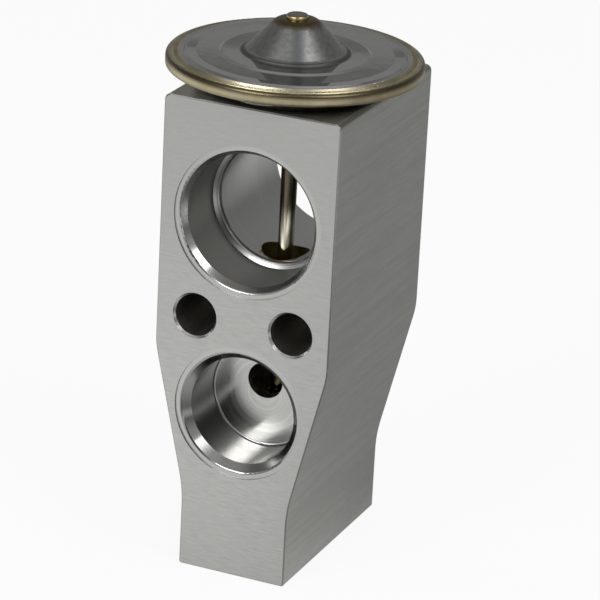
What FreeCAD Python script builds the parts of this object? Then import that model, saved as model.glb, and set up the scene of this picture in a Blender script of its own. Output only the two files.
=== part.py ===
# Block-type thermal expansion valve: an extruded aluminium block with four ports, a disc-shaped
# power head on top, and the rod, ball, spring and adjusting screw of the valve inside it.
import FreeCAD, Part
import math
import os

from FreeCAD import Vector

# Sizes are in millimetres. The solids are drawn about the vertical valve axis with the foot at
# z = 0, the front towards -Y, and moved to the mounting datum when they are written.

# Block, cut from an extruded bar whose section is seen from the front
block_width = 30.0
block_height = 79.3
block_depth = 36.8
axis_to_front = 15.8
foot_width = 18.6
foot_straight = 13.2
shoulder_height = 37.4
shoulder_round = 14.0
foot_bend_round = 24.0
corner_round = 1.0
foot_corner_round = 0.4
edge_break = 0.2

# Suction passage, straight through the upper half, with a counterbore at each end; the back one
# is drilled slightly lower
suction_height = 60.56
suction_back_drop = 0.45
passage_radius = 9.9
passage_round = 0.8
suction_bore = 10.95
suction_bore_depth = 10.8
suction_lead_depth = 1.45
suction_mouth = 11.75
suction_spotface = 12.64

# Outlet port in the front face, to the evaporator
outlet_height = 28.25
outlet_bore = 9.0
outlet_bore_depth = 10.1
outlet_lead_depth = 1.6
outlet_mouth = 10.2
outlet_spotface = 11.17
outlet_hole = 3.05
outlet_hole_height = 30.4

# Inlet port in the back face, from the liquid line
inlet_height = 23.4
inlet_bore = 7.4
inlet_bore_depth = 9.5
inlet_lead_depth = 1.5
inlet_mouth = 8.5
inlet_spotface = 9.4
inlet_hole = 2.9
inlet_hole_height = 19.6

# What the four port mouths share
spotface_depth = 0.25
lip_round = 0.5
floor_round = 0.3
port_floor_slope = math.radians(2.0)
counterbore_slope = math.radians(30.0)

# Mounting bolt holes, and the tapped hole for the pipe clamp between them at the back
bolt_radius = 3.5
bolt_spacing = 16.6
bolt_height = 43.4
bolt_chamfer = 0.35
clamp_hole = 2.5
clamp_hole_depth = 12.0
clamp_chamfer = 0.5
drill_point = math.radians(31.0)

# How far the cutting tools run past the faces
overshoot = 1.0

# Clearances between pieces
running_gap = 0.04
seat_gap = 0.03
bonded_gap = 0.01
thread_gap = 0.05

# Push rod, and the seal that it slides through below the suction passage
rod_radius = 1.325
rod_chamfer = 0.3
pocket_radius = 3.9
gland_radius = 3.2
gland_floor = 42.6
backing_thickness = 0.6
retainer_thickness = 0.35
retainer_dish = 0.7
retainer_teeth = 8
retainer_slot = 0.6
retainer_slot_depth = 1.0

# Valve seat, ball and ball carrier
outlet_chamber = 3.0
outlet_chamber_top = 33.6
seat_top = 27.0
seat_length = 3.0
seat_radius = 4.0
orifice_radius = 2.1
seat_cone_height = 0.8
ball_radius = 3.175
carrier_cup_radius = 3.4
carrier_cup_rim = 2.3
carrier_flange_radius = 4.4
carrier_flange = 1.1
carrier_flange_gap = 0.45
carrier_spigot_radius = 2.3
carrier_spigot = 3.4
valve_lift = 0.8

# Spring chamber, superheat spring and damper
chamber_radius = 5.2
chamber_wall = 0.9
wire_diameter = 1.1
spring_coil_radius = 3.45
spring_turns = 5.0
damper_sheet = 0.3
damper_leg_length = 4.6
damper_leg_angle = 28.0
damper_legs = 3
damper_bend = 0.6

# Adjusting screw in the foot, and its seal
screw_thread_radius = 6.0
screw_recess = 1.0
screw_thread_length = 3.4
screw_length = 7.8
screw_boss = 1.5
screw_chamfer = 0.5
hex_across_flats = 6.0
hex_depth = 4.5
hex_lead = 0.5
thread_bore_length = 5.2
thread_run_out = 0.6
foot_chamfer = 0.6
screw_seal_section = 0.6
screw_seal_height = 6.15
screw_groove_width = 1.4

# Seat of the power head in the top of the block
head_thread_radius = 10.0
head_thread_depth = 6.2
gasket_chamfer = 2.45
gasket_section = 0.75
gasket_offset = 0.2
pressure_hole = 4.6

# Power head: two stamped covers joined at a rolled and welded rim. The flare, the margins and
# the clamp width are measured inwards from the head's radius.
head_radius = 20.5
rim_height = 3.65
rim_above_middle = 1.03
rim_below_middle = 1.08
rim_top_round = 0.75
rim_bottom_round = 0.4
rim_crest_margin = 0.85
rim_crest_round = 0.3
rim_valley = 0.8
rim_valley_margin = 1.3
rim_valley_round = 0.25
rim_underside_margin = 1.5
rim_underside_round = 0.8
clamp_width = 2.7
lower_cover_gap = 0.35
lower_cover_flare = 5.0
lower_cover_sheet = 1.0
lower_cover_bend = 1.5
sheet_round = 0.5
clamp_round = 0.3
upper_cover_sheet = 0.9
plate_rise = 1.3
plate_edge_margin = 2.05
plate_edge_drop = 0.3
plate_edge_round = 0.15
plate_margin = 2.75
plate_groove = 0.3
plate_groove_width = 0.4
plate_dish = 0.08
plate_dish_margin = 4.8
step_margin = 8.6
step_rise = 0.25
cone_step_gap = 3.55
cone_foot_rise = 0.35
cone_foot_edge = math.radians(60.0)
cone_foot_edge_round = 0.25
cone_foot_width = 0.6
cone_foot_slope = math.radians(15.0)
cone_foot_round = 0.8
cone_top_radius = 3.3
cone_height = 4.95
cone_top_round = 2.5
collar_bore = 7.0
collar_spigot_radius = 8.6
collar_length = 5.0

# Diaphragm, the stopper disc under it, and the plug that seals the charge
diaphragm_sheet = 0.2
diaphragm_margin = 1.3
diaphragm_overhang = 0.2
diaphragm_clamp_gap = 0.2
diaphragm_waves = 2
diaphragm_wave_height = 0.12
diaphragm_round = 0.5
stopper_margin = 7.5
stopper_thickness = 0.85
stopper_edge_round = 0.4
stopper_hub_radius = 4.2
stopper_hub = 4.0
stopper_travel_gap = 0.1
rod_socket_depth = 3.4
plug_radius = 1.75
plug_shank = 1.1
plug_rise = 0.65
plug_shank_length = 2.0
plug_round = 0.35

# Heights and radii that follow from the sizes above
front = -axis_to_front
back = block_depth - axis_to_front
up = Vector(0, 0, 1)
rod_bore = rod_radius + running_gap
seal_section = (gland_radius - bonded_gap - rod_bore) / 2
gland_top = gland_floor + 2 * seal_section + backing_thickness
seat_bottom = seat_top - seat_length
cone_start = seat_bottom + seat_cone_height
ball_centre = cone_start + orifice_radius - (ball_radius + seat_gap) * math.sqrt(2)
rod_bottom = ball_centre + ball_radius
chamber_top = outlet_height - outlet_bore - chamber_wall
carrier_flange_top = chamber_top - carrier_flange_gap
carrier_flange_bottom = carrier_flange_top - carrier_flange
screw_bottom = screw_recess
screw_top = screw_bottom + screw_length
screw_neck_radius = chamber_radius - running_gap
screw_seal_middle = screw_bottom + screw_seal_height
screw_seal_ring = chamber_radius - running_gap - screw_seal_section
spring_top = carrier_flange_bottom - damper_sheet
rim_middle = block_height + rim_height
cover_floor = block_height + lower_cover_gap
cover_floor_inside = cover_floor + lower_cover_sheet
stopper_bottom = cover_floor_inside + valve_lift + stopper_travel_gap
stopper_top = stopper_bottom + stopper_thickness
rod_top = stopper_bottom - stopper_hub + rod_socket_depth
rim_top = rim_middle + rim_above_middle
rim_bottom = rim_middle - rim_below_middle
lower_cover_floor = head_radius - lower_cover_flare
clamp_inner = head_radius - clamp_width
diaphragm_radius = head_radius - diaphragm_margin
stopper_radius = head_radius - stopper_margin
plate_radius = head_radius - plate_margin
plate_dish_radius = head_radius - plate_dish_margin
step_radius = head_radius - step_margin
cone_foot_radius = step_radius - cone_step_gap
cone_radius = cone_foot_radius - cone_foot_width
plate_top = rim_middle + plate_rise
step_top = plate_top + step_rise
cone_foot_bottom = step_top + cone_foot_rise
cone_foot = cone_foot_bottom + cone_foot_width * math.tan(cone_foot_slope)
cone_top = cone_foot + cone_height


def rounded_face(corners):
    """Face in the XZ plane from (x, z) corners; a third number rounds that corner."""
    edges = []
    starts = []
    ends = []
    arcs = []
    for i, corner in enumerate(corners):
        point = Vector(corner[0], 0, corner[1])
        before = corners[i - 1]
        after = corners[(i + 1) % len(corners)]
        radius = corner[2] if len(corner) == 3 else 0
        if radius == 0:
            starts.append(point)
            ends.append(point)
            arcs.append(None)
            continue
        to_before = (Vector(before[0], 0, before[1]) - point).normalize()
        to_after = (Vector(after[0], 0, after[1]) - point).normalize()
        half_angle = to_before.getAngle(to_after) / 2
        tangent = radius / math.tan(half_angle)
        bisector = (to_before + to_after).normalize()
        middle = point + bisector * (radius / math.sin(half_angle) - radius)
        starts.append(point + to_before * tangent)
        ends.append(point + to_after * tangent)
        arcs.append(Part.Arc(starts[i], middle, ends[i]).toShape())
    for i in range(len(corners)):
        if arcs[i]:
            edges.append(arcs[i])
        start = ends[i]
        end = starts[(i + 1) % len(corners)]
        if start.distanceToPoint(end) > 1e-6:
            edges.append(Part.makeLine(start, end))
    return Part.Face(Part.Wire(edges))


def turned(corners, angle=360.0):
    """Solid of revolution about the valve axis from (radius, height) corners."""
    return rounded_face(corners).revolve(Vector(0, 0, 0), up, angle)


def bored_from(face_y, height, tool):
    """Turn a tool that is drawn about Z, with z = depth, into the block from its front or back."""
    inward = 1 if face_y < 0 else -1
    placed = tool.copy()
    placed.rotate(Vector(0, 0, 0), Vector(1, 0, 0), -90 * inward)
    placed.translate(Vector(0, face_y, height))
    return placed


def cylinder(radius, bottom, top):
    """Cylinder on the valve axis between two heights."""
    return Part.makeCylinder(radius, top - bottom, Vector(0, 0, bottom))


def ring_seal(section, ring_radius, height):
    """O-ring about the valve axis."""
    return Part.makeTorus(ring_radius, section, Vector(0, 0, height))


def around_axis(shape, count):
    """Copies of a shape, evenly spaced about the valve axis."""
    copies = []
    for i in range(count):
        turned_copy = shape.copy()
        turned_copy.rotate(Vector(0, 0, 0), up, 360.0 * i / count)
        copies.append(turned_copy)
    return copies


def port_mouth(spotface, mouth, bore, lead_depth):
    """Profile corners from outside the face to the start of a port's bore."""
    return [
        (0, -overshoot),
        (spotface, -overshoot),
        (spotface, spotface_depth),
        (mouth, spotface_depth, lip_round),
        (bore, lead_depth),
    ]


def blind_port(spotface, mouth, bore, lead_depth, depth):
    """Tool for a port that ends in a shallow conical floor."""
    floor_centre = depth + bore * math.tan(port_floor_slope)
    corners = port_mouth(spotface, mouth, bore, lead_depth)
    return turned(corners + [(bore, depth, floor_round), (0, floor_centre)])


def suction_counterbore():
    """Tool for one end of the suction passage, with a drill-point step down to the passage."""
    step = (suction_bore - passage_radius) * math.tan(counterbore_slope)
    corners = port_mouth(suction_spotface, suction_mouth, suction_bore, suction_lead_depth)
    corners.append((suction_bore, suction_bore_depth))
    corners.append((passage_radius, suction_bore_depth + step, passage_round))
    corners.append((passage_radius, suction_bore_depth + step + passage_round))
    corners.append((0, suction_bore_depth + step + passage_round))
    return turned(corners)


def bolt_hole(x):
    """Through hole from front to back with a small chamfer at both faces."""
    hole = turned([
        (0, -overshoot),
        (bolt_radius + bolt_chamfer + overshoot, -overshoot),
        (bolt_radius, bolt_chamfer),
        (bolt_radius, block_depth - bolt_chamfer),
        (bolt_radius + bolt_chamfer + overshoot, block_depth + overshoot),
        (0, block_depth + overshoot),
    ])
    hole = bored_from(front, bolt_height, hole)
    hole.translate(Vector(x, 0, 0))
    return hole


def clamp_bore():
    """Blind tapped hole in the back face that takes the pipe clamp's screw."""
    point = clamp_hole_depth + clamp_hole * math.tan(drill_point)
    tool = turned([
        (0, -overshoot),
        (clamp_hole + clamp_chamfer + overshoot, -overshoot),
        (clamp_hole, clamp_chamfer),
        (clamp_hole, clamp_hole_depth),
        (0, point),
    ])
    return bored_from(back, bolt_height, tool)


def extruded_bar():
    """The bar's section, with its tapered lower half and rounded bends, run along the depth."""
    half = block_width / 2
    foot = foot_width / 2
    section = rounded_face([
        (-foot, 0, foot_corner_round),
        (foot, 0, foot_corner_round),
        (foot, foot_straight, foot_bend_round),
        (half, shoulder_height, shoulder_round),
        (half, block_height, corner_round),
        (-half, block_height, corner_round),
        (-half, shoulder_height, shoulder_round),
        (-foot, foot_straight, foot_bend_round),
    ])
    section.translate(Vector(0, front, 0))
    bar = section.extrude(Vector(0, block_depth, 0))
    cut_ends = []
    for edge in bar.Edges:
        box = edge.BoundBox
        if box.YMax - box.YMin < 1e-6:
            cut_ends.append(edge)
    return bar.makeChamfer(edge_break, cut_ends)


def spring_chamber():
    """Stepped bore from the foot: thread, spring chamber, seat bore and outlet chamber."""
    return turned([
        (0, -overshoot),
        (screw_thread_radius + foot_chamfer + overshoot, -overshoot),
        (screw_thread_radius, foot_chamfer),
        (screw_thread_radius, thread_bore_length),
        (chamber_radius, thread_bore_length + thread_run_out),
        (chamber_radius, chamber_top),
        (seat_radius, chamber_top + chamber_radius - seat_radius),
        (seat_radius, seat_top),
        (outlet_chamber, seat_top),
        (outlet_chamber, outlet_chamber_top),
        (0, outlet_chamber_top + outlet_chamber * math.tan(drill_point)),
    ])


def rod_passage():
    """Bore for the rod, the gland for its seal, and the open pocket above."""
    return turned([
        (0, outlet_chamber_top),
        (rod_bore, outlet_chamber_top),
        (rod_bore, gland_floor),
        (gland_radius, gland_floor),
        (gland_radius, gland_top),
        (pocket_radius, gland_top),
        (pocket_radius, suction_height),
        (0, suction_height),
    ])


def head_seat():
    """Threaded bore in the top with a chamfer for the gasket, and a hole to the passage."""
    thread_floor = block_height - head_thread_depth
    return turned([
        (0, suction_height),
        (pressure_hole, suction_height),
        (pressure_hole, thread_floor),
        (head_thread_radius, thread_floor),
        (head_thread_radius, block_height - gasket_chamfer),
        (head_thread_radius + gasket_chamfer + overshoot, block_height + overshoot),
        (0, block_height + overshoot),
    ])


def make_valve_body():
    """The block with every port and bore cut into it."""
    passage = cylinder(passage_radius, 0, block_depth)
    outlet = blind_port(outlet_spotface, outlet_mouth, outlet_bore, outlet_lead_depth, outlet_bore_depth)
    inlet = blind_port(inlet_spotface, inlet_mouth, inlet_bore, inlet_lead_depth, inlet_bore_depth)
    tools = [
        bored_from(front, suction_height, passage),
        bored_from(front, suction_height, suction_counterbore()),
        bored_from(back, suction_height - suction_back_drop, suction_counterbore()),
        bored_from(front, outlet_height, outlet),
        bored_from(back, inlet_height, inlet),
        bored_from(front, outlet_hole_height, cylinder(outlet_hole, outlet_bore_depth / 2, axis_to_front)),
        bored_from(back, inlet_hole_height, cylinder(inlet_hole, inlet_bore_depth / 2, back)),
        bolt_hole(-bolt_spacing / 2),
        bolt_hole(bolt_spacing / 2),
        clamp_bore(),
        spring_chamber(),
        rod_passage(),
        head_seat(),
    ]
    body = extruded_bar()
    for tool in tools:
        body = body.cut(tool)
    return body


def make_push_rod():
    """Steel rod that carries the diaphragm's movement down to the ball."""
    return turned([
        (0, rod_bottom),
        (rod_radius - rod_chamfer, rod_bottom),
        (rod_radius, rod_bottom + rod_chamfer),
        (rod_radius, rod_top - rod_chamfer),
        (rod_radius - rod_chamfer, rod_top),
        (0, rod_top),
    ])


def make_rod_seal():
    """O-ring between the rod and the gland."""
    return ring_seal(seal_section, rod_bore + seal_section, gland_floor + seal_section)


def make_seal_washer():
    """Backing washer that keeps the rod seal in its gland."""
    bottom = gland_top - backing_thickness + bonded_gap
    washer = cylinder(gland_radius - bonded_gap, bottom, gland_top)
    return washer.cut(cylinder(rod_bore + running_gap, bottom - overshoot, gland_top + overshoot))


def make_seal_retainer():
    """Dished push-in retainer with teeth that bite into the pocket's wall."""
    bottom = gland_top + bonded_gap
    hole = rod_bore + 2 * retainer_thickness
    rim = pocket_radius - bonded_gap
    middle = (hole + rim) / 2
    dish = turned([
        (hole, bottom),
        (middle, bottom, retainer_thickness),
        (rim, bottom + retainer_dish),
        (rim, bottom + retainer_dish + retainer_thickness),
        (middle, bottom + retainer_thickness, retainer_thickness),
        (hole, bottom + retainer_thickness),
    ])
    slot = Part.makeBox(
        2 * retainer_slot_depth,
        retainer_slot,
        retainer_dish + 4 * retainer_thickness,
        Vector(rim - retainer_slot_depth, -retainer_slot / 2, bottom - retainer_thickness),
    )
    for tool in around_axis(slot, retainer_teeth):
        dish = dish.cut(tool)
    return dish


def make_orifice_seat():
    """Seat insert with the metering hole and a cone that the ball closes."""
    outer = seat_radius - bonded_gap
    cone_radius_below = orifice_radius + seat_cone_height
    return turned([
        (orifice_radius, cone_start),
        (cone_radius_below, seat_bottom),
        (outer, seat_bottom),
        (outer, seat_top),
        (orifice_radius, seat_top),
    ])


def make_valve_ball():
    """Steel ball under the seat."""
    return Part.makeSphere(ball_radius, Vector(0, 0, ball_centre))


def make_ball_carrier():
    """Turned carrier: a cup under the ball, a flange on the spring and a spigot inside it."""
    flange_bottom = carrier_flange_bottom
    flange_top = carrier_flange_top
    cup_top = ball_centre - carrier_cup_rim
    spigot_bottom = flange_bottom - carrier_spigot
    blank = turned([
        (0, spigot_bottom),
        (carrier_spigot_radius, spigot_bottom, rod_chamfer),
        (carrier_spigot_radius, flange_bottom),
        (carrier_flange_radius, flange_bottom),
        (carrier_flange_radius, flange_top),
        (carrier_cup_radius, flange_top),
        (carrier_cup_radius, cup_top),
        (0, cup_top),
    ])
    seat = Part.makeSphere(ball_radius + bonded_gap, Vector(0, 0, ball_centre))
    return blank.cut(seat)


def make_superheat_spring():
    """Compression spring between the screw's face and the damper under the carrier."""
    rise = spring_top - screw_top - wire_diameter - 2 * bonded_gap
    helix = Part.makeHelix(rise / spring_turns, rise, spring_coil_radius)
    helix.translate(Vector(0, 0, screw_top + wire_diameter / 2 + bonded_gap))
    first = helix.Edges[0]
    start = first.valueAt(first.FirstParameter)
    direction = first.tangentAt(first.FirstParameter)
    section = Part.Wire(Part.makeCircle(wire_diameter / 2, start, direction))
    return Part.Wire(helix.Edges).makePipeShell([section], True, True)


def make_vibration_damper():
    """Sheet ring under the carrier's flange with sprung legs that rub on the chamber wall."""
    top = carrier_flange_bottom
    bottom = top - damper_sheet
    outer = chamber_radius - running_gap
    inner = outer - damper_sheet
    hole = carrier_spigot_radius + bonded_gap
    ring_rim = carrier_flange_radius
    ring = turned([(hole, bottom), (ring_rim, bottom), (ring_rim, top), (hole, top)])
    leg = turned([
        (ring_rim - damper_sheet, top),
        (outer, top, damper_bend),
        (outer, top - damper_leg_length),
        (inner, top - damper_leg_length),
        (inner, bottom, damper_bend - damper_sheet),
        (ring_rim - damper_sheet, bottom),
    ], damper_leg_angle)
    for tool in around_axis(leg, damper_legs):
        ring = ring.fuse(tool)
    return ring.removeSplitter()


def make_adjusting_screw():
    """Screw with a hexagon socket, a neck with a groove for its seal, and a spring boss."""
    thread = screw_thread_radius - thread_gap
    thread_top = screw_bottom + screw_thread_length
    groove_bottom = screw_seal_middle - screw_groove_width / 2
    groove_top = screw_seal_middle + screw_groove_width / 2
    groove = screw_seal_ring - screw_seal_section
    boss = spring_coil_radius - wire_diameter / 2 - thread_gap
    blank = turned([
        (0, screw_bottom),
        (thread - screw_chamfer, screw_bottom),
        (thread, screw_bottom + screw_chamfer),
        (thread, thread_top - screw_chamfer),
        (thread - screw_chamfer, thread_top),
        (screw_neck_radius, thread_top),
        (screw_neck_radius, groove_bottom),
        (groove, groove_bottom),
        (groove, groove_top),
        (screw_neck_radius, groove_top),
        (screw_neck_radius, screw_top),
        (boss, screw_top),
        (boss, screw_top + screw_boss, screw_chamfer),
        (0, screw_top + screw_boss),
    ])
    across_corners = hex_across_flats / math.cos(math.pi / 6)
    hexagon = []
    for i in range(6):
        angle = math.radians(60 * i + 30)
        hexagon.append(Vector(math.cos(angle), math.sin(angle), 0) * (across_corners / 2))
    hexagon.append(hexagon[0])
    socket = Part.Face(Part.makePolygon(hexagon)).extrude(up * (hex_depth + overshoot))
    socket.translate(Vector(0, 0, screw_bottom - overshoot))
    lead = Part.makeCone(across_corners / 2 + hex_lead, across_corners / 2 - hex_lead, 2 * hex_lead)
    lead.translate(Vector(0, 0, screw_bottom - hex_lead))
    return blank.cut(socket).cut(lead)


def make_adjuster_seal():
    """O-ring in the adjusting screw's groove."""
    return ring_seal(screw_seal_section, screw_seal_ring, screw_seal_middle)


def make_lower_cover():
    """Stamped lower cover: half of the rim, a conical wall and a floor that seats on the gasket."""
    clamp_top = rim_middle - diaphragm_sheet / 2
    edge = diaphragm_radius + bonded_gap
    wall_foot = lower_cover_floor
    wall_foot_inside = lower_cover_floor - lower_cover_sheet / 2
    section = rounded_face([
        (collar_spigot_radius, cover_floor),
        (wall_foot, cover_floor, lower_cover_bend),
        (head_radius - rim_underside_margin, rim_bottom, rim_underside_round),
        (head_radius, rim_bottom, rim_bottom_round),
        (head_radius, rim_middle),
        (edge, rim_middle),
        (edge, clamp_top),
        (clamp_inner, clamp_top, clamp_round),
        (clamp_inner, clamp_top - lower_cover_sheet, sheet_round),
        (wall_foot_inside, cover_floor_inside, lower_cover_bend - sheet_round),
        (collar_spigot_radius, cover_floor_inside),
    ])
    return section.revolve(Vector(0, 0, 0), up, 360)


def across_sheet(radius, height, slope, next_slope):
    """Inner corner of the upper cover's sheet, from the outer corner between two slopes."""
    middle = (slope + next_slope) / 2
    reach = upper_cover_sheet / math.cos((next_slope - slope) / 2)
    return radius - reach * math.sin(middle), height - reach * math.cos(middle)


def make_upper_cover():
    """Stamped upper cover: half of the rim, a stepped plate and the cone that holds the plug."""
    clamp_bottom = rim_middle + diaphragm_sheet / 2
    edge = diaphragm_radius + bonded_gap
    groove_start = plate_radius - plate_groove_width
    plate_edge = head_radius - plate_edge_margin
    valley = rim_middle + rim_valley
    plate_bottom = plate_top - upper_cover_sheet
    step_bottom = step_top - upper_cover_sheet
    cone_slope = math.atan2(cone_height, cone_radius - cone_top_radius)
    foot_end = cone_foot_radius + cone_foot_rise / math.tan(cone_foot_edge)
    hole = plug_shank + bonded_gap
    section = rounded_face([
        (hole, cone_top),
        (cone_top_radius, cone_top, cone_top_round),
        (cone_radius, cone_foot, cone_foot_round),
        (cone_foot_radius, cone_foot_bottom, cone_foot_edge_round),
        (foot_end, step_top, step_rise),
        (step_radius - step_rise, step_top, step_rise),
        (step_radius + step_rise, plate_top, step_rise),
        (plate_dish_radius, plate_top),
        (groove_start, plate_top + plate_dish, plate_groove_width / 2),
        (plate_radius, plate_top - plate_groove, plate_groove_width / 2),
        (plate_edge, plate_top + plate_dish, plate_edge_round),
        (plate_edge + plate_edge_drop, valley, rim_valley_round),
        (head_radius - rim_valley_margin, valley, rim_valley_round),
        (head_radius - rim_crest_margin, rim_top, rim_crest_round),
        (head_radius, rim_top, rim_top_round),
        (head_radius, rim_middle),
        (edge, rim_middle),
        (edge, clamp_bottom),
        (clamp_inner, clamp_bottom),
        (groove_start, plate_bottom),
        (step_radius + step_rise, plate_bottom, step_rise),
        (step_radius - step_rise, step_bottom, step_rise),
        (*across_sheet(foot_end, step_top, cone_foot_edge, 0), step_rise),
        across_sheet(cone_foot_radius, cone_foot_bottom, cone_foot_slope, cone_foot_edge),
        (
            *across_sheet(cone_radius, cone_foot, cone_slope, cone_foot_slope),
            cone_foot_round + upper_cover_sheet,
        ),
        (*across_sheet(cone_top_radius, cone_top, 0, cone_slope), cone_top_round - upper_cover_sheet),
        (hole, cone_top - upper_cover_sheet),
    ])
    return section.revolve(Vector(0, 0, 0), up, 360)


def make_threaded_collar():
    """Turned collar that screws the head into the block and is welded into the lower cover."""
    bottom = cover_floor - collar_length
    outer = head_thread_radius - bonded_gap
    spigot = collar_spigot_radius - bonded_gap
    return turned([
        (collar_bore, bottom),
        (outer - screw_chamfer, bottom),
        (outer, bottom + screw_chamfer),
        (outer, cover_floor - bonded_gap),
        (spigot, cover_floor - bonded_gap),
        (spigot, cover_floor_inside),
        (collar_bore, cover_floor_inside),
    ])


def make_head_gasket():
    """O-ring in the chamfer between the block and the lower cover."""
    ring_radius = head_thread_radius + gasket_section + gasket_offset
    return ring_seal(gasket_section, ring_radius, cover_floor - gasket_section - bonded_gap)


def make_diaphragm():
    """Thin disc, clamped at the rim, with shallow waves around its flat middle."""
    middle_bottom = stopper_top + bonded_gap
    clamp_bottom = rim_middle - diaphragm_sheet / 2
    wave_start = stopper_radius + diaphragm_overhang
    wave_end = clamp_inner - diaphragm_clamp_gap
    steps = 2 * diaphragm_waves
    lower_line = [(0, middle_bottom), (wave_start, middle_bottom, diaphragm_round)]
    for i in range(1, steps):
        share = i / steps
        swing = diaphragm_wave_height if i % 2 else -diaphragm_wave_height
        height = middle_bottom + share * (clamp_bottom - middle_bottom) + swing
        radius = wave_start + share * (wave_end - wave_start)
        lower_line.append((radius, height, diaphragm_round))
    lower_line.append((wave_end, clamp_bottom, diaphragm_round))
    lower_line.append((diaphragm_radius, clamp_bottom))
    upper_line = []
    for corner in reversed(lower_line):
        upper_line.append((corner[0], corner[1] + diaphragm_sheet) + corner[2:])
    return turned(lower_line + upper_line)


def make_stopper_disc():
    """Disc that backs the diaphragm, with a hub that takes the top of the rod."""
    hub_bottom = stopper_bottom - stopper_hub
    socket = rod_radius + bonded_gap
    return turned([
        (0, rod_top + bonded_gap),
        (socket, rod_top + bonded_gap),
        (socket, hub_bottom),
        (stopper_hub_radius, hub_bottom, stopper_edge_round),
        (stopper_hub_radius, stopper_bottom, stopper_edge_round),
        (stopper_radius, stopper_bottom, stopper_edge_round),
        (stopper_radius, stopper_top, stopper_edge_round),
        (0, stopper_top),
    ])


def make_charge_plug():
    """Plug welded into the top of the cone after the head is charged."""
    return turned([
        (0, cone_top - plug_shank_length),
        (plug_shank, cone_top - plug_shank_length),
        (plug_shank, cone_top + bonded_gap),
        (plug_radius, cone_top + bonded_gap),
        (plug_radius, cone_top + plug_rise, plug_round),
        (0, cone_top + plug_rise),
    ])


nodes = {
    "valve_body": make_valve_body,
    "push_rod": make_push_rod,
    "rod_seal": make_rod_seal,
    "seal_washer": make_seal_washer,
    "seal_retainer": make_seal_retainer,
    "orifice_seat": make_orifice_seat,
    "valve_ball": make_valve_ball,
    "ball_carrier": make_ball_carrier,
    "vibration_damper": make_vibration_damper,
    "superheat_spring": make_superheat_spring,
    "adjusting_screw": make_adjusting_screw,
    "adjuster_seal": make_adjuster_seal,
    "head_gasket": make_head_gasket,
    "threaded_collar": make_threaded_collar,
    "lower_cover": make_lower_cover,
    "upper_cover": make_upper_cover,
    "diaphragm": make_diaphragm,
    "stopper_disc": make_stopper_disc,
    "charge_plug": make_charge_plug,
}

# The mounting datum is the middle of the two bolt holes on the front face
datum = Vector(0, axis_to_front, -bolt_height)

os.makedirs("parts", exist_ok=True)
for name, make in nodes.items():
    shape = make()
    shape.translate(datum)
    solids = shape.Solids
    if len(solids) == 1:
        shape = solids[0]
    shape.exportStep("parts/" + name + ".step")
    print(name, len(solids), shape.isValid(), round(shape.Volume, 2))
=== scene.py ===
import math

import bmesh
import bpy
from mathutils import Matrix, Vector


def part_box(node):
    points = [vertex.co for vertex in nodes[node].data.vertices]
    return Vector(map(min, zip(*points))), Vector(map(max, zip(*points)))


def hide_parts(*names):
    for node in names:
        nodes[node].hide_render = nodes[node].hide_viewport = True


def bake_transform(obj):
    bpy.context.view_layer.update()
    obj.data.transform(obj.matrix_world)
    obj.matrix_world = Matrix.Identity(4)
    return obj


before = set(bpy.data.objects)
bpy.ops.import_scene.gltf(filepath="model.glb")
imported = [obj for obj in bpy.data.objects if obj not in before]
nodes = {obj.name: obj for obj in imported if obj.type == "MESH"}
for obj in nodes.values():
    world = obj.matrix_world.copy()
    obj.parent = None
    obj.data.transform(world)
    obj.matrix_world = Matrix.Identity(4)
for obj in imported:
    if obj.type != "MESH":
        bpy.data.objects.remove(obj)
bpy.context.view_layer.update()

# Places in the frame, in metres: the datum is the middle of the bolt holes on the front face
block_low, block_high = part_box("valve_body")
FRONT = block_low.y
BACK = block_high.y
TOP = block_high.z
FOOT = block_low.z
AXIS_Y = 0.0158
CENTRE_Y = 0.016
BOLT_X = 0.0083
SUCTION = (0.0, 0.01716)
SUCTION_BACK = (0.0, 0.01671)
OUTLET = (0.0, -0.01515)
INLET = (0.0, -0.02)

# The power head in millimetres: two heights, then radii, where each zone starts and where it is full
MM = 1000.0
RIM_SEAM = 39.55
PLUG_TOP = 47.2
PLUG_TINT = (4.5, 3.2)
FOOT_RING = 8.4
CONE = (9.0, 8.7)
PLATE_BY_CONE = (8.8, 11.7)
MATT_PLATE = (17.3, 18.2)
GILT_RIM = (18.2, 18.8)
RIM_ROUND = (18.75, 20.1)
OXIDE_AND_SHADE_RIM = (19.85, 20.3)
RIM_SIDE = (20.2, 20.4)

# Depths in metres, measured from the nearer face of the block
ON_FACE = 0.00001
FACING_DEPTH = 0.00026
BOLT_EDGE_DEPTH = 0.0004
LIP_DEPTH = 0.0015
OUTLET_FLOOR_DEPTH = 0.0098
STEP_DEPTH = 0.0106
COUNTERBORE_DEPTH = 0.0109
BACK_AXIS_DEPTH = 0.0115
CLAMP_DEPTH = 0.016

# Radii in metres about each hole's own axis, and the mouths of the lower ports as radius and depth
BOLT_REACH = 0.0046
CLAMP_REACH = 0.0032
POCKET_REACH = 0.0042
ROD_BORE_REACH = 0.0031
SUCTION_INSIDE = 0.0097
SUCTION_OUTSIDE = 0.0128
STEP_INSIDE = 0.00993
COUNTERBORE_INSIDE = 0.0105
OUTLET_MOUTH = (0.0113, 0.0120)
INLET_MOUTH = (0.0095, 0.0110)

# What lies outside on the block: the sides, the top and the foot, and the bar's narrower lower half
SIDE_X = 0.0149
NEAR_END = 0.0001
BELOW_TOP = 0.001
LOWER_HALF_Z = -0.005
LOWER_HALF_REACH = 0.0075


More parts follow.
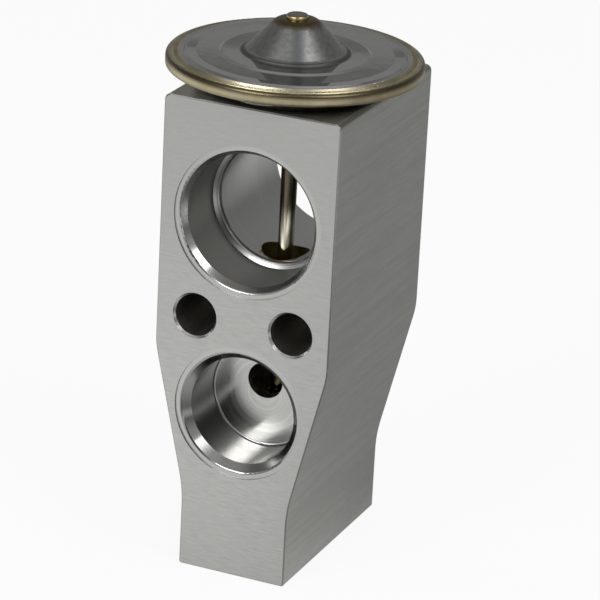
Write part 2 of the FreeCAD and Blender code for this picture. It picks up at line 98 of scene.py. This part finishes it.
class Nodes:
    """Small helper for building a shader node tree."""

    def __init__(self, tree):
        self.tree = tree

    def add(self, kind, **settings):
        node = self.tree.nodes.new(kind)
        for key, value in settings.items():
            setattr(node, key, value)
        return node

    def put(self, socket, value):
        """Link an output to the socket, or set the socket's own value."""
        if isinstance(value, bpy.types.NodeSocket):
            self.tree.links.new(value, socket)
        elif value is not None:
            socket.default_value = value

    def math(self, operation, a, b=None):
        node = self.add("ShaderNodeMath", operation=operation)
        self.put(node.inputs[0], a)
        self.put(node.inputs[1], b)
        return node.outputs[0]

    def vector(self, operation, a, b=None):
        node = self.add("ShaderNodeVectorMath", operation=operation)
        self.put(node.inputs[0], a)
        self.put(node.inputs[1], b)
        return node.outputs["Value" if operation in ("DOT_PRODUCT", "LENGTH") else "Vector"]

    def split(self, vector):
        node = self.add("ShaderNodeSeparateXYZ")
        self.put(node.inputs[0], vector)
        return node.outputs

    def join(self, x, y, z):
        node = self.add("ShaderNodeCombineXYZ")
        for socket, value in zip(node.inputs, (x, y, z)):
            self.put(socket, value)
        return node.outputs[0]

    def span(self, value, low, high, to_low=0.0, to_high=1.0, smooth=True):
        """The value carried from one range to another, held at its ends."""
        node = self.add("ShaderNodeMapRange", interpolation_type="SMOOTHSTEP" if smooth else "LINEAR")
        for socket, v in zip(node.inputs, (value, low, high, to_low, to_high)):
            self.put(socket, v)
        return node.outputs[0]

    def spread(self, noise, to_low=0.0, to_high=1.0):
        """A noise's usual range carried to another one."""
        return self.span(noise, 0.3, 0.7, to_low, to_high)

    def sway(self, value, noise, amount):
        """The value moved up and down by a noise."""
        return self.math("ADD", value, self.math("MULTIPLY", self.math("SUBTRACT", noise, 0.5), amount))

    def apart(self, a, b):
        """The distance between two values."""
        return self.math("ABSOLUTE", self.math("SUBTRACT", a, b))

    def length(self, a, b):
        """The distance from an axis, from the two places across it."""
        return self.math("SQRT", self.math("ADD", self.math("MULTIPLY", a, a), self.math("MULTIPLY", b, b)))

    def blend(self, share, a, b):
        """The share of colour b over colour a."""
        node = self.add("ShaderNodeMix", data_type="RGBA")
        self.put(node.inputs["Factor"], share)
        for socket, colour in zip(node.inputs[6:8], (a, b)):
            self.put(socket, colour if isinstance(colour, bpy.types.NodeSocket) else (*colour, 1.0))
        return node.outputs[2]

    def noise(self, vector, scale, detail=2.0, roughness=0.5):
        node = self.add("ShaderNodeTexNoise")
        self.put(node.inputs["Vector"], vector)
        node.inputs["Scale"].default_value = scale
        node.inputs["Detail"].default_value = detail
        node.inputs["Roughness"].default_value = roughness
        return node.outputs[0]

    def stretched(self, vector, factors):
        return self.vector("MULTIPLY", vector, factors)

    def bump(self, height, strength, distance, normal=None):
        node = self.add("ShaderNodeBump")
        node.inputs["Strength"].default_value = strength
        node.inputs["Distance"].default_value = distance
        self.put(node.inputs["Height"], height)
        self.put(node.inputs["Normal"], normal)
        return node.outputs[0]

    def place(self):
        """Coordinates fixed to the object, in metres."""
        return self.add("ShaderNodeTexCoord").outputs["Object"]

    def place_mm(self):
        """Coordinates fixed to the object, in millimetres."""
        return self.stretched(self.place(), (MM, MM, MM))

    def rays(self):
        """The kinds of ray, and those that come from the camera, straight or through something clear."""
        rays = self.add("ShaderNodeLightPath").outputs
        return rays, self.math("MAXIMUM", rays["Is Camera Ray"], rays["Is Transmission Ray"])


def material(name, metallic, anisotropic=0.0):
    """A new material with a Principled shader, and the helper for its tree."""
    m = bpy.data.materials.new(name)
    m.use_nodes = True
    m.node_tree.nodes.clear()
    n = Nodes(m.node_tree)
    shader = n.add("ShaderNodeBsdfPrincipled")
    shader.inputs["Metallic"].default_value = metallic
    shader.inputs["Anisotropic"].default_value = anisotropic
    n.put(n.add("ShaderNodeOutputMaterial").inputs[0], shader.outputs[0])
    return m, n, shader


def dress(n, shader, colour, roughness, normal, tangent=None):
    """Give the shader what differs over its surface."""
    n.put(shader.inputs["Base Color"], colour)
    n.put(shader.inputs["Roughness"], roughness)
    n.put(shader.inputs["Normal"], normal)
    n.put(shader.inputs["Tangent"], tangent)


def shaded(colour, factor):
    """The colour times a factor, and no channel over 1."""
    return tuple(min(1.0, c * factor) for c in colour)


def milled_alloy(name, shade):
    """Sawn and milled end faces: fine lines across the width, slightly tilted, with painted shade darker
    towards the top.
    """
    m, n, s = material(name, 1.0, 0.45)
    p = n.place_mm()
    x, y, z = n.split(p)
    tilted = n.math("ADD", z, n.math("MULTIPLY", x, 0.035))
    q = n.join(n.math("MULTIPLY", x, 0.10), y, tilted)
    lines = n.noise(n.stretched(q, (1, 0.2, 1)), 3.4, 3.0, 0.62)
    fine = n.noise(n.stretched(q, (0.7, 0.2, 1)), 9.0, 2.0, 0.6)
    cloud = n.noise(p, 0.09, 2.0)
    tone = n.spread(n.math("ADD", n.math("MULTIPLY", lines, 0.6), n.math("MULTIPLY", fine, 0.4)))
    colour = n.blend(tone, shaded(shade, 0.88), shaded(shade, 1.08))
    colour = n.blend(n.span(cloud, 0.35, 0.65, 0.0, 0.35), colour, shaded(shade, 0.94))
    # Painted shade: the face darker towards the top
    colour = n.blend(n.span(z, -20.0, 36.0, 0.0, 0.6), colour, shaded(shade, 0.80))
    roughness = n.span(tone, 0.0, 1.0, 0.47, 0.37)
    dress(n, s, colour, roughness, n.bump(tone, 0.15, 0.00004), n.join(0.0, 0.0, 1.0))
    return m


def extruded_alloy(name, shade):
    """Drawn sides of the bar: streaks along the depth."""
    m, n, s = material(name, 1.0, 0.3)
    p = n.place_mm()
    streaks = n.noise(n.stretched(p, (1, 0.03, 1)), 1.3, 3.0, 0.6)
    fine = n.noise(n.stretched(p, (1, 0.06, 1)), 5.5, 2.0, 0.6)
    cloud = n.noise(p, 0.07, 2.0)
    tone = n.spread(n.math("ADD", n.math("MULTIPLY", streaks, 0.55), n.math("MULTIPLY", fine, 0.45)))
    colour = n.blend(tone, shaded(shade, 0.92), shaded(shade, 1.05))
    colour = n.blend(n.span(cloud, 0.35, 0.65, 0.0, 0.35), colour, shaded(shade, 0.93))
    roughness = n.span(tone, 0.0, 1.0, 0.50, 0.42)
    dress(n, s, colour, roughness, n.bump(tone, 0.10, 0.00004), n.join(0.0, 1.0, 0.0))
    return m


def turned_alloy(name, shade, centre, roughness, anisotropic, lines, depth=0.06,
                 dark_line_radius=None, painted_light_depths=None):
    """Bored walls and floors: rings about the port's axis.

    Where it is asked for, there is a dark line at a given radius,
    and painted light makes the wall above the axis paler between two given depths.
    """
    m, n, s = material(name, 1.0, anisotropic)
    x, y, z = n.split(n.place())
    dx = n.math("SUBTRACT", x, centre[0])
    dz = n.math("SUBTRACT", z, centre[1])
    radius = n.length(dx, dz)
    around = n.join(n.math("MULTIPLY", dz, -1.0), 0.0, dx)
    profile = n.join(n.math("MULTIPLY", radius, MM), n.math("MULTIPLY", y, MM), 0.0)
    grooves = n.noise(profile, lines, 2.0, 0.65)
    tone = n.span(grooves, 0.32, 0.68)
    colour = n.blend(tone, shaded(shade, 0.95), shaded(shade, 1.03))
    if dark_line_radius:
        # A dark line at the given radius
        on_line = n.span(n.apart(radius, dark_line_radius), 0.00003, 0.00013, 0.6, 0.0)
        colour = n.blend(on_line, colour, (0.10, 0.10, 0.085))
    if painted_light_depths:
        # Painted light: the wall above the axis growing paler between the two depths, towards the back
        above = n.span(n.math("ADD", dz, n.math("MULTIPLY", dx, -0.3)), -0.001, 0.007)
        colour = n.blend(n.math("MULTIPLY", n.span(y, *painted_light_depths), above), colour, (0.86, 0.86, 0.83))
    sheen = n.span(tone, 0.0, 1.0, roughness + 0.03, roughness - 0.03)
    dress(n, s, colour, sheen, n.bump(grooves, depth, 0.00002), around)
    s.inputs["Anisotropic Rotation"].default_value = 0.25
    return m


def dark_bore(name, shade):
    """Drilled holes."""
    m, n, s = material(name, 1.0)
    mottle = n.noise(n.place_mm(), 1.2, 3.0, 0.6)
    colour = n.blend(mottle, shaded(shade, 0.8), shade)
    dress(n, s, colour, n.spread(mottle, 0.42, 0.52), n.bump(mottle, 0.1, 0.00003))
    return m


def head_steel(name):
    """Stamped stainless cover: smooth grey plate, blotched cone, heat tint at the weld and the plug, painted
    shade on the cone and the rim.
    """
    m, n, s = material(name, 1.0)
    p = n.place()
    x, y, z = n.split(p)
    dy = n.math("SUBTRACT", y, AXIS_Y)
    r = n.math("MULTIPLY", n.length(x, dy), MM)
    h = n.math("MULTIPLY", z, MM)
    q = n.stretched(p, (MM, MM, MM))
    mottle = n.noise(q, 0.45, 4.0, 0.6)
    blotch = n.noise(q, 1.1, 4.0, 0.65)
    speck = n.noise(q, 3.2, 3.0, 0.7)

    # Grey plate with a few dark specks
    grey = n.blend(n.spread(mottle), (0.40, 0.40, 0.395), (0.45, 0.445, 0.435))
    grey = n.blend(n.span(speck, 0.64, 0.76, 0.0, 0.3), grey, (0.28, 0.28, 0.275))

    # Darker cone with a painted shade streak down its front, and a ring of painted shade at its foot
    on_cone = n.span(r, *CONE)
    cone = n.blend(n.spread(blotch), (0.23, 0.23, 0.225), (0.31, 0.31, 0.305))
    cone = n.blend(n.span(speck, 0.60, 0.72, 0.0, 0.35), cone, (0.25, 0.25, 0.245))
    # Painted shade: a dark streak down the side of the cone that faces the front
    across = n.math("ADD", n.math("SUBTRACT", x, 0.0005), n.math("MULTIPLY", dy, 0.425))
    shade_streak = n.span(n.math("ABSOLUTE", across), 0.0002, 0.0016, 1.0, 0.0)
    patchy = n.math("MULTIPLY", shade_streak, n.span(blotch, 0.35, 0.60, 0.55, 0.85))
    front_shade = n.math("MULTIPLY", patchy, n.span(dy, 0.0, -0.001))
    cone = n.blend(front_shade, cone, (0.14, 0.145, 0.15))
    colour = n.blend(on_cone, grey, cone)
    # Painted shade: a dark ring at the cone's foot
    at_foot = n.span(n.apart(r, FOOT_RING), 0.20, 0.45, 1.0, 0.0)
    colour = n.blend(n.math("MULTIPLY", at_foot, 0.7), colour, (0.07, 0.07, 0.065))

    # Heat tint on the rim, gilt inside and dark oxide outside, above the seam; the oxide's darkness is partly
    # painted dark reflection
    wander = n.sway(r, blotch, 0.5)
    gilt = n.blend(n.spread(mottle), (0.44, 0.385, 0.23), (0.52, 0.47, 0.32))
    colour = n.blend(n.span(wander, *GILT_RIM), colour, gilt)
    oxide_and_shade = n.blend(n.spread(blotch), (0.06, 0.047, 0.03), (0.12, 0.10, 0.07))
    above_seam = n.span(n.sway(h, blotch, 0.25), RIM_SEAM, RIM_SEAM + 0.55)
    in_oxide_and_shade = n.math("MULTIPLY", n.span(wander, *OXIDE_AND_SHADE_RIM), above_seam)
    colour = n.blend(in_oxide_and_shade, colour, oxide_and_shade)

    # Brown heat tint on the rim's side, partly painted dark reflection, with a straw band left below the
    # seam, and the pale wall under it
    off_band = n.apart(h, RIM_SEAM - 0.30)
    side_tint_and_shade = n.span(r, *RIM_SIDE, 0.0, 0.6)
    colour = n.blend(n.math("MULTIPLY", n.span(off_band, 0.10, 0.55), side_tint_and_shade), colour, (0.17, 0.14, 0.075))
    at_plug = n.span(n.sway(r, blotch, 0.8), *PLUG_TINT)
    colour = n.blend(at_plug, colour, (0.10, 0.072, 0.026))
    under = n.span(h, RIM_SEAM - 1.05, RIM_SEAM - 1.35)
    colour = n.blend(under, colour, (0.42, 0.41, 0.37))

    # Bright plate, and matter on the cone, its foot and the way to the rim
    roughness = n.spread(mottle, 0.025, 0.04)
    roughness = n.math("ADD", roughness, n.math("MULTIPLY", on_cone, 0.31))
    roughness = n.math("ADD", roughness, n.math("MULTIPLY", at_foot, 0.25))
    roughness = n.math("ADD", roughness, n.span(r, *MATT_PLATE, 0.0, 0.30))
    roughness = n.math("ADD", roughness, n.math("MULTIPLY", in_oxide_and_shade, -0.02))

    # Slight dents, soft rises by the cone and over the rim's round, and a grain on the cone and the oxide
    normal = n.bump(mottle, 0.04, 0.00006)
    normal = n.bump(n.span(r, *PLATE_BY_CONE, 0.0, 1.0, False), 1.0, 0.00004, normal)
    normal = n.bump(n.span(r, *RIM_ROUND, 1.0, 0.0, False), 1.0, 0.0015, normal)
    grained = n.math("ADD", 0.01, n.math("MAXIMUM", on_cone, in_oxide_and_shade))
    grain = n.math("MULTIPLY", n.noise(q, 2.2, 3.0, 0.6), grained)
    dress(n, s, colour, roughness, n.bump(grain, 0.12, 0.00008, normal))
    return m


def plain_metal(name, low, high, roughness, scale):
    """Metal with a faint mottle between two colours."""
    m, n, s = material(name, 1.0)
    mottle = n.noise(n.place_mm(), scale, 3.0, 0.6)
    colour = n.blend(n.spread(mottle), low, high)
    dress(n, s, colour, n.spread(mottle, roughness - 0.04, roughness + 0.04), n.bump(mottle, 0.08, 0.00003))
    return m


def rod_steel(name):
    """Ground rod, brownish, with painted shade over its upper part and, darker, at its lower end."""
    m, n, s = material(name, 1.0)
    q = n.place_mm()
    mottle = n.noise(n.stretched(q, (1, 1, 0.2)), 1.5, 3.0, 0.6)
    z = n.split(q)["Z"]
    colour = n.blend(n.spread(mottle), (0.66, 0.62, 0.51), (0.74, 0.70, 0.58))
    # Painted shade over the rod's upper part
    colour = n.blend(n.span(z, 11.5, 16.0), colour, (0.12, 0.105, 0.075))
    # Painted shade, darker, at the rod's lower end
    colour = n.blend(n.span(z, 2.0, -4.0), colour, (0.08, 0.065, 0.03))
    dress(n, s, colour, n.spread(mottle, 0.08, 0.12), n.bump(mottle, 0.05, 0.00002))
    return m


def welded_plug(name):
    """Resistance-welded plug: brown face, straw-coloured edge."""
    m, n, s = material(name, 1.0)
    q = n.place_mm()
    mottle = n.noise(q, 1.5, 3.0, 0.6)
    z = n.split(q)["Z"]
    face = n.blend(n.spread(mottle), (0.16, 0.14, 0.11), (0.24, 0.22, 0.18))
    straw = n.blend(n.spread(mottle), (0.50, 0.40, 0.17), (0.58, 0.48, 0.22))
    colour = n.blend(n.span(z, PLUG_TOP - 0.12, PLUG_TOP - 0.04), straw, face)
    dress(n, s, colour, n.spread(mottle, 0.24, 0.30), n.bump(mottle, 0.02, 0.00003))
    return m


def tapped(name, shade):
    """Tapped hole along the depth, with threads of 1 mm pitch as a bump, and painted shade in their roots."""
    m, n, s = material(name, 1.0)
    x, y, z = n.split(n.place_mm())
    turn = n.math("DIVIDE", n.math("ARCTAN2", z, x), 2 * math.pi)
    crest = n.apart(n.math("FRACT", n.math("ADD", y, turn)), 0.5)
    # Painted shade in the thread roots
    colour = n.blend(n.span(crest, 0.0, 0.5), shaded(shade, 0.6), shade)
    roughness = n.spread(n.noise(n.place(), 2000.0), 0.3, 0.4)
    dress(n, s, colour, roughness, n.bump(crest, 0.9, 0.0005))
    return m


def rubber(name):
    """Dark green rubber."""
    m, n, s = material(name, 0.0)
    mottle = n.noise(n.place_mm(), 4.0, 3.0, 0.6)
    colour = n.blend(mottle, (0.02, 0.045, 0.025), (0.03, 0.06, 0.035))
    dress(n, s, colour, n.spread(mottle, 0.42, 0.55), n.bump(mottle, 0.1, 0.00003))
    return m


milled = milled_alloy("alloy_milled", (0.53, 0.532, 0.512))
extruded = extruded_alloy("alloy_extruded", (0.50, 0.502, 0.475))
suction_turned = turned_alloy("alloy_suction_bore", (0.40, 0.40, 0.38), SUCTION, 0.38, 0.4, 9.0)
suction_polished = turned_alloy("alloy_suction_lips", (0.48, 0.48, 0.47), SUCTION, 0.20, 0.5, 12.0, 0.03)
suction_step = turned_alloy(
    "alloy_suction_step", (0.38, 0.38, 0.37), SUCTION, 0.30, 0.4, 12.0, 0.03, dark_line_radius=0.01038)
suction_facing = turned_alloy("alloy_suction_facing", (0.54, 0.54, 0.52), SUCTION, 0.33, 0.5, 9.0)
passage = turned_alloy("alloy_passage", (0.50, 0.50, 0.48), SUCTION, 0.33, 0.4, 5.0, painted_light_depths=(0.011, 0.023))
outlet_turned = turned_alloy("alloy_outlet_bore", (0.37, 0.37, 0.36), OUTLET, 0.16, 0.3, 12.0, 0.015)
outlet_floor = turned_alloy("alloy_outlet_floor", (0.52, 0.52, 0.50), OUTLET, 0.24, 0.0, 1.5, 0.002)
outlet_facing = turned_alloy("alloy_outlet_facing", (0.54, 0.54, 0.52), OUTLET, 0.33, 0.5, 9.0)
inlet_turned = turned_alloy("alloy_inlet_bore", (0.56, 0.56, 0.55), INLET, 0.18, 0.6, 9.0, 0.03)
# Painted shade: the walls of the shallow facings are darker than the faces around them
ring_wall_shade = plain_metal("alloy_ring_wall_painted_shade", (0.38, 0.38, 0.375), (0.44, 0.44, 0.43), 0.40, 2.0)
hole_edge = plain_metal("alloy_hole_edge", (0.46, 0.46, 0.45), (0.54, 0.54, 0.53), 0.24, 2.0)
drilled = dark_bore("alloy_drilled", (0.36, 0.35, 0.31))
rod_pocket = dark_bore("alloy_rod_pocket", (0.34, 0.27, 0.14))
clamp_thread = tapped("alloy_tapped", (0.50, 0.50, 0.485))
cover = head_steel("steel_cover")
rod = rod_steel("steel_rod")
inner = plain_metal("steel_inner", (0.42, 0.42, 0.41), (0.50, 0.50, 0.49), 0.32, 1.5)
screw = plain_metal("steel_screw", (0.45, 0.43, 0.36), (0.52, 0.49, 0.41), 0.33, 1.5)
plug = welded_plug("steel_plug")
brass = plain_metal("brass_seat", (0.50, 0.36, 0.15), (0.60, 0.45, 0.20), 0.3, 1.5)
green_rubber = rubber("rubber_seal")


def set_materials(node, materials, choose=None):
    """Give a piece its materials, and each facet the one that is chosen for it, or else the first."""
    mesh = nodes[node].data
    mesh.materials.clear()
    for m in materials:
        mesh.materials.append(m)
    slots = {m.name: slot for slot, m in enumerate(materials)}
    for polygon in mesh.polygons:
        polygon.material_index = slots[choose(polygon).name] if choose else 0


def body_finish(polygon):
    """Which finish a facet of the block has, from its place and direction."""
    c = polygon.center
    along = abs(polygon.normal.y)
    deep = min(c.y - FRONT, BACK - c.y)
    if deep < ON_FACE:
        return milled
    near_back = c.y > (FRONT + BACK) / 2
    suction = SUCTION_BACK if near_back and deep < BACK_AXIS_DEPTH else SUCTION
    lower = INLET if near_back else OUTLET
    from_suction = math.hypot(c.x - suction[0], c.z - suction[1])
    from_lower = math.hypot(c.x - lower[0], c.z - lower[1])
    from_bolt = min(math.hypot(c.x - BOLT_X, c.z), math.hypot(c.x + BOLT_X, c.z))
    from_axis = math.hypot(c.x, c.y - AXIS_Y)
    if from_bolt < BOLT_REACH:
        return hole_edge if deep < BOLT_EDGE_DEPTH else drilled
    if c.y > BACK - CLAMP_DEPTH and math.hypot(c.x, c.z) < CLAMP_REACH:
        return clamp_thread
    if from_axis < POCKET_REACH and 0.0 < c.z < SUCTION[1]:
        return rod_pocket
    if SUCTION_INSIDE < from_suction < SUCTION_OUTSIDE and c.z < TOP - BELOW_TOP:
        if deep < FACING_DEPTH:
            return ring_wall_shade if along < 0.5 else suction_facing
        if deep < LIP_DEPTH:
            return suction_polished
        if near_back:
            return passage
        if deep > STEP_DEPTH and from_suction > STEP_INSIDE:
            return suction_step
        in_counterbore = deep < COUNTERBORE_DEPTH and from_suction > COUNTERBORE_INSIDE
        return suction_turned if in_counterbore else passage
    mouth_radius, mouth_depth = INLET_MOUTH if near_back else OUTLET_MOUTH
    if deep < mouth_depth and from_lower < mouth_radius and from_axis > ROD_BORE_REACH:
        if deep < FACING_DEPTH and along < 0.5:
            return ring_wall_shade
        if near_back:
            return inlet_turned
        if deep < FACING_DEPTH:
            return outlet_facing
        return outlet_floor if deep > OUTLET_FLOOR_DEPTH and along > 0.4 else outlet_turned
    outside = abs(c.x) > SIDE_X or c.z > TOP - NEAR_END or c.z < FOOT + NEAR_END
    lower_side = from_axis > LOWER_HALF_REACH and c.z < LOWER_HALF_Z and along < 0.3
    return extruded if outside or lower_side else drilled


BODY_FINISHES = [
    milled,
    extruded,
    suction_turned,
    outlet_turned,
    inlet_turned,
    drilled,
    suction_polished,
    suction_facing,
    ring_wall_shade,
    hole_edge,
    clamp_thread,
    passage,
    outlet_facing,
    suction_step,
    outlet_floor,
    rod_pocket,
]
PLAIN_FINISHES = [
    (cover, ("upper_cover", "lower_cover")),
    (inner, ("threaded_collar", "diaphragm", "stopper_disc", "seal_washer", "seal_retainer")),
    (inner, ("valve_ball", "ball_carrier", "vibration_damper", "superheat_spring")),
    (rod, ("push_rod",)),
    (plug, ("charge_plug",)),
    (screw, ("adjusting_screw",)),
    (brass, ("orifice_seat",)),
    (green_rubber, ("rod_seal", "adjuster_seal", "head_gasket")),
]
set_materials("valve_body", BODY_FINISHES, body_finish)
for finish, names in PLAIN_FINISHES:
    for name in names:
        set_materials(name, [finish])


def spring_half(name, above):
    """Half of the spring's coils, above or below its middle, as a piece of its own."""
    obj = bpy.data.objects.new(name, nodes["superheat_spring"].data.copy())
    bpy.context.scene.collection.objects.link(obj)
    obj.matrix_world = nodes["superheat_spring"].matrix_world
    coils = bmesh.new()
    coils.from_mesh(obj.data)
    middle_z = (spring_low + spring_high) / 2
    rest = [f for f in coils.faces if (f.calc_center_median().z < middle_z) == above]
    bmesh.ops.delete(coils, geom=rest, context="FACES")
    coils.to_mesh(obj.data)
    coils.free()
    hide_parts("superheat_spring")
    if above:
        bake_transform(obj)
    else:
        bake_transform(obj)


spring_low, spring_high = (corner.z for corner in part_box("superheat_spring"))
spring_half("spring_lower_coils", False)
spring_half("spring_upper_coils", True)


def pale_floor(name):
    """White with the object's soft shadow; in reflections it is darker behind the object and in one spot."""
    m = bpy.data.materials.new(name)
    m.use_nodes = True
    m.node_tree.nodes.clear()
    n = Nodes(m.node_tree)
    rays, seen = n.rays()
    glossy = rays["Is Glossy Ray"]
    to_front_left = n.vector("DOT_PRODUCT", n.place(), (-0.39, -0.92, 0.0))
    paleness = n.span(to_front_left, -0.05, 0.07, 0.36, 1.0)
    paleness = n.math("MULTIPLY", paleness, n.span(to_front_left, 0.10, 0.30, 1.0, 0.75))
    from_dark_spot = n.vector("LENGTH", n.vector("SUBTRACT", n.place(), (0.07, -0.10, FOOT)))
    paleness = n.math("MULTIPLY", paleness, n.span(from_dark_spot, 0.05, 0.12, 0.15, 1.0))
    diffuse = n.add("ShaderNodeBsdfDiffuse")
    diffuse.inputs["Color"].default_value = (0.8, 0.8, 0.8, 1)
    glow = n.add("ShaderNodeEmission")
    glow.inputs["Color"].default_value = (1, 1, 1, 1)
    n.put(glow.inputs["Strength"], n.math("MAXIMUM", seen, n.math("MULTIPLY", glossy, paleness)))
    mix = n.add("ShaderNodeMixShader")
    n.put(mix.inputs[0], n.math("MULTIPLY", n.math("MAXIMUM", seen, glossy), 0.9))
    n.put(mix.inputs[1], diffuse.outputs[0])
    n.put(mix.inputs[2], glow.outputs[0])
    n.put(n.add("ShaderNodeOutputMaterial").inputs[0], mix.outputs[0])
    return m


# Floor just under the foot
bpy.ops.mesh.primitive_plane_add(size=8.0, location=(0, CENTRE_Y, FOOT - 0.00002))
floor = bpy.context.object
floor.name = "floor"
floor.data.materials.append(pale_floor("floor_pale"))

# The room that the object mirrors: azimuth 0 is in front of it and 90 to its right, in degrees.
# Each wall is its azimuth, elevation, the angles where it is full and where it ends, and its strength.
ROOM_GREY = 0.20
PALE_WALLS = ((-20, 33, 20, 45, 0.30), (66, 45, 20, 45, 0.30), (0, 90, 20, 45, 0.15))
DARK_WALL = (25, 10, 13, 30, 0.85)
BACK_WALL = (203, 20, 40, 70, 1.0)
BACK_WALL_STRENGTH = 0.10
BELOW_GAP = (17.36, 17.31)
ABOVE_GAP = (17.9, 19.1)
SOFT_LIGHT = 0.6


def towards(azimuth, elevation):
    """The unit vector from the object in a direction, with both angles in radians."""
    level = math.cos(elevation)
    return Vector((math.sin(azimuth) * level, -math.cos(azimuth) * level, math.sin(elevation)))


def lobe(n, direction, azimuth, elevation, inner_angle, outer_angle, strength):
    """Brightness around a direction, with the angles in degrees."""
    middle = towards(math.radians(azimuth), math.radians(elevation))
    near = n.vector("DOT_PRODUCT", direction, middle)
    edge, full = math.cos(math.radians(outer_angle)), math.cos(math.radians(inner_angle))
    return n.span(near, edge, full, 0.0, strength)


def studio(name):
    """White where it is seen, and a grey room with soft pale walls in the reflections."""
    world = bpy.data.worlds.new(name)
    world.use_nodes = True
    world.node_tree.nodes.clear()
    n = Nodes(world.node_tree)
    direction = n.add("ShaderNodeTexCoord").outputs["Generated"]
    room = ROOM_GREY
    for wall in PALE_WALLS:
        room = n.math("ADD", room, lobe(n, direction, *wall))
    room = n.math("MULTIPLY", room, n.math("SUBTRACT", 1.0, lobe(n, direction, *DARK_WALL)))
    height = n.split(direction)["Z"]
    below_gap, above_gap = (
        n.span(height, *(math.sin(math.radians(angle)) for angle in edge)) for edge in (BELOW_GAP, ABOVE_GAP))
    behind = n.math("MULTIPLY", lobe(n, direction, *BACK_WALL), n.math("ADD", below_gap, above_gap))
    room = n.math("ADD", room, n.math("MULTIPLY", behind, BACK_WALL_STRENGTH))
    rays, seen = n.rays()
    level = n.math("MULTIPLY", rays["Is Glossy Ray"], room)
    level = n.math("ADD", level, n.math("MULTIPLY", rays["Is Diffuse Ray"], SOFT_LIGHT))
    background = n.add("ShaderNodeBackground")
    background.inputs["Color"].default_value = (1, 1, 1, 1)
    n.put(background.inputs["Strength"], n.math("MAXIMUM", level, seen))
    n.put(n.add("ShaderNodeOutputWorld").inputs[0], background.outputs[0])
    return world


def softbox(name, azimuth, elevation, distance, size, watts):
    """A rectangular lamp that looks at the object, with the angles in degrees."""
    d = towards(math.radians(azimuth), math.radians(elevation))
    lamp = bpy.data.lights.new(name, "AREA")
    lamp.energy = watts
    lamp.shape = "RECTANGLE"
    lamp.size, lamp.size_y = size
    obj = bpy.data.objects.new(name, lamp)
    obj.location = Vector((0, CENTRE_Y, 0)) + d * distance
    obj.rotation_mode = "QUATERNION"
    obj.rotation_quaternion = (-d).to_track_quat("-Z", "Y")
    bpy.context.scene.collection.objects.link(obj)


bpy.context.scene.world = studio("studio")
softbox("light_front_left", -16, 33, 0.7, (0.32, 0.26), 1.6)
softbox("light_right", 66, 45, 0.7, (0.30, 0.33), 1.1)

# Camera at the photograph's place, in metres, with its direction and roll in radians
CAMERA_PLACE = (0.21912, -0.49190, 0.21251)
CAMERA_DIRECTION = (0.4025161575, 0.3681033025)
CAMERA_ROLL = 0.0526626389
data = bpy.data.cameras.new("camera")
data.lens = 220.34
data.sensor_width = 36.0
data.clip_start = 0.01
data.clip_end = 50.0
camera = bpy.data.objects.new("camera", data)
back = towards(*CAMERA_DIRECTION)
level_right = Vector((0, 0, 1)).cross(back).normalized()
level_up = back.cross(level_right)
right = level_right * math.cos(CAMERA_ROLL) + level_up * math.sin(CAMERA_ROLL)
up = level_up * math.cos(CAMERA_ROLL) - level_right * math.sin(CAMERA_ROLL)
rows = Matrix((right, up, back)).transposed()
camera.matrix_world = Matrix.Translation(CAMERA_PLACE) @ rows.to_4x4()
bpy.context.scene.collection.objects.link(camera)
bpy.context.scene.camera = camera
bpy.context.scene.view_settings.view_transform = "Standard"
